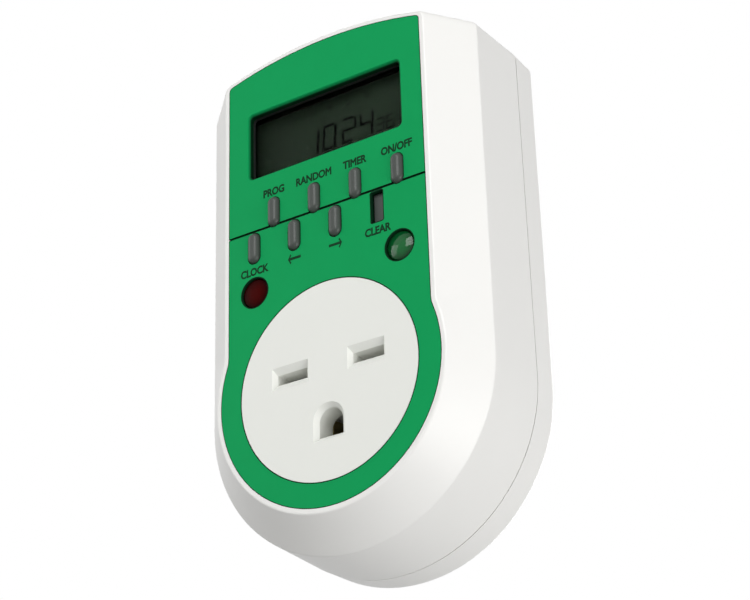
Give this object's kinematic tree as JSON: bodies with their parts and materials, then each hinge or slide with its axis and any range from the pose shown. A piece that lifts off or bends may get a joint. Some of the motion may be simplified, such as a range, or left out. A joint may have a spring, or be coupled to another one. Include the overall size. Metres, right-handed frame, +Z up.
{
  "type": "plug-in timer switch",
  "caption": "Plug-in timer switch with a keyhole-shaped front plate, display window, press keys, lamp lenses, a round three-hole socket and a plug on the back.",
  "frame": {"origin": "on the back face, midway between the two line blades where they leave it", "axes": "+X right as seen from the front, +Y into the wall along the blades, +Z up"},
  "size_m": [0.0684, 0.0523, 0.1165],
  "materials": {
    "housing": "satin",
    "face_plate": "satin",
    "socket_face": "satin",
    "carrier": "moulded",
    "contacts": "rolled",
    "blades": "nickel plated",
    "window": "clear",
    "display": "dark polariser",
    "holder": "moulded",
    "rubber": "silicone",
    "keys": "moulded",
    "red_lens": "clear dyed",
    "green_lens": "clear dyed",
    "boards": "solder mask",
    "chip": "moulded",
    "cans": "drawn",
    "relay": "moulded",
    "film": "moulded",
    "sleeve": "shrunk sleeve",
    "varistor": "dipped",
    "fuse": "ceramic",
    "cable": "insulation",
    "wires": "insulation",
    "screws": "zinc plated"
  },
  "bodies": {
    "case": {"front_housing": "housing", "rear_cover": "housing", "face_plate": "face_plate", "socket_face": "socket_face", "contact_carrier": "carrier", "line_contact_left": "contacts", "line_contact_right": "contacts", "ground_contact": "contacts", "line_blade_left": "blades", "line_blade_right": "blades", "ground_pin": "blades", "lcd_window": "window", "lcd_panel": "display", "lcd_holder": "holder", "keypad_mat": "rubber", "zebra_strip": "rubber", "red_lens": "red_lens", "red_led": "red_lens", "green_lens": "green_lens", "green_led": "green_lens", "control_board": "boards", "power_board": "boards", "clock_chip": "chip", "rectifier_diodes": "chip", "clock_crystal": "cans", "backup_cell": "cans", "relay": "relay", "film_capacitor": "film", "smoothing_capacitor": "sleeve", "varistor": "varistor", "fuse": "fuse", "dropper_resistor": "fuse", "board_link": "cable", "feed_lead": "wires", "switched_lead": "wires", "return_lead": "wires", "housing_screws": "screws", "control_board_screws": "screws", "power_board_screws": "screws", "carrier_screws": "screws"},
    "set_button": {"set_key": "keys"},
    "random_button": {"random_key": "keys"},
    "countdown_button": {"countdown_key": "keys"},
    "manual_button": {"manual_key": "keys"},
    "time_button": {"time_key": "keys"},
    "left_button": {"left_key": "keys"},
    "right_button": {"right_key": "keys"},
    "reset_button": {"reset_key": "keys"}
  },
  "joints": [
    {"name": "set_press", "type": "slide", "parent": "case", "child": "set_button", "axis": [0, 1, 0], "range_m": [0, 0.0008], "stiffness_N_per_m": 500, "springref_m": -0.0008, "deforming": ["keypad_mat"]},
    {"name": "random_press", "type": "slide", "parent": "case", "child": "random_button", "axis": [0, 1, 0], "range_m": [0, 0.0008], "stiffness_N_per_m": 500, "springref_m": -0.0008, "deforming": ["keypad_mat"]},
    {"name": "countdown_press", "type": "slide", "parent": "case", "child": "countdown_button", "axis": [0, 1, 0], "range_m": [0, 0.0008], "stiffness_N_per_m": 500, "springref_m": -0.0008, "deforming": ["keypad_mat"]},
    {"name": "manual_press", "type": "slide", "parent": "case", "child": "manual_button", "axis": [0, 1, 0], "range_m": [0, 0.0008], "stiffness_N_per_m": 500, "springref_m": -0.0008, "deforming": ["keypad_mat"]},
    {"name": "time_press", "type": "slide", "parent": "case", "child": "time_button", "axis": [0, 1, 0], "range_m": [0, 0.0008], "stiffness_N_per_m": 500, "springref_m": -0.0008, "deforming": ["keypad_mat"]},
    {"name": "left_press", "type": "slide", "parent": "case", "child": "left_button", "axis": [0, 1, 0], "range_m": [0, 0.0008], "stiffness_N_per_m": 500, "springref_m": -0.0008, "deforming": ["keypad_mat"]},
    {"name": "right_press", "type": "slide", "parent": "case", "child": "right_button", "axis": [0, 1, 0], "range_m": [0, 0.0008], "stiffness_N_per_m": 500, "springref_m": -0.0008, "deforming": ["keypad_mat"]},
    {"name": "reset_press", "type": "slide", "parent": "case", "child": "reset_button", "axis": [0, 1, 0], "range_m": [0, 0.0008], "stiffness_N_per_m": 500, "springref_m": -0.0008, "deforming": ["keypad_mat"]}
  ]
}
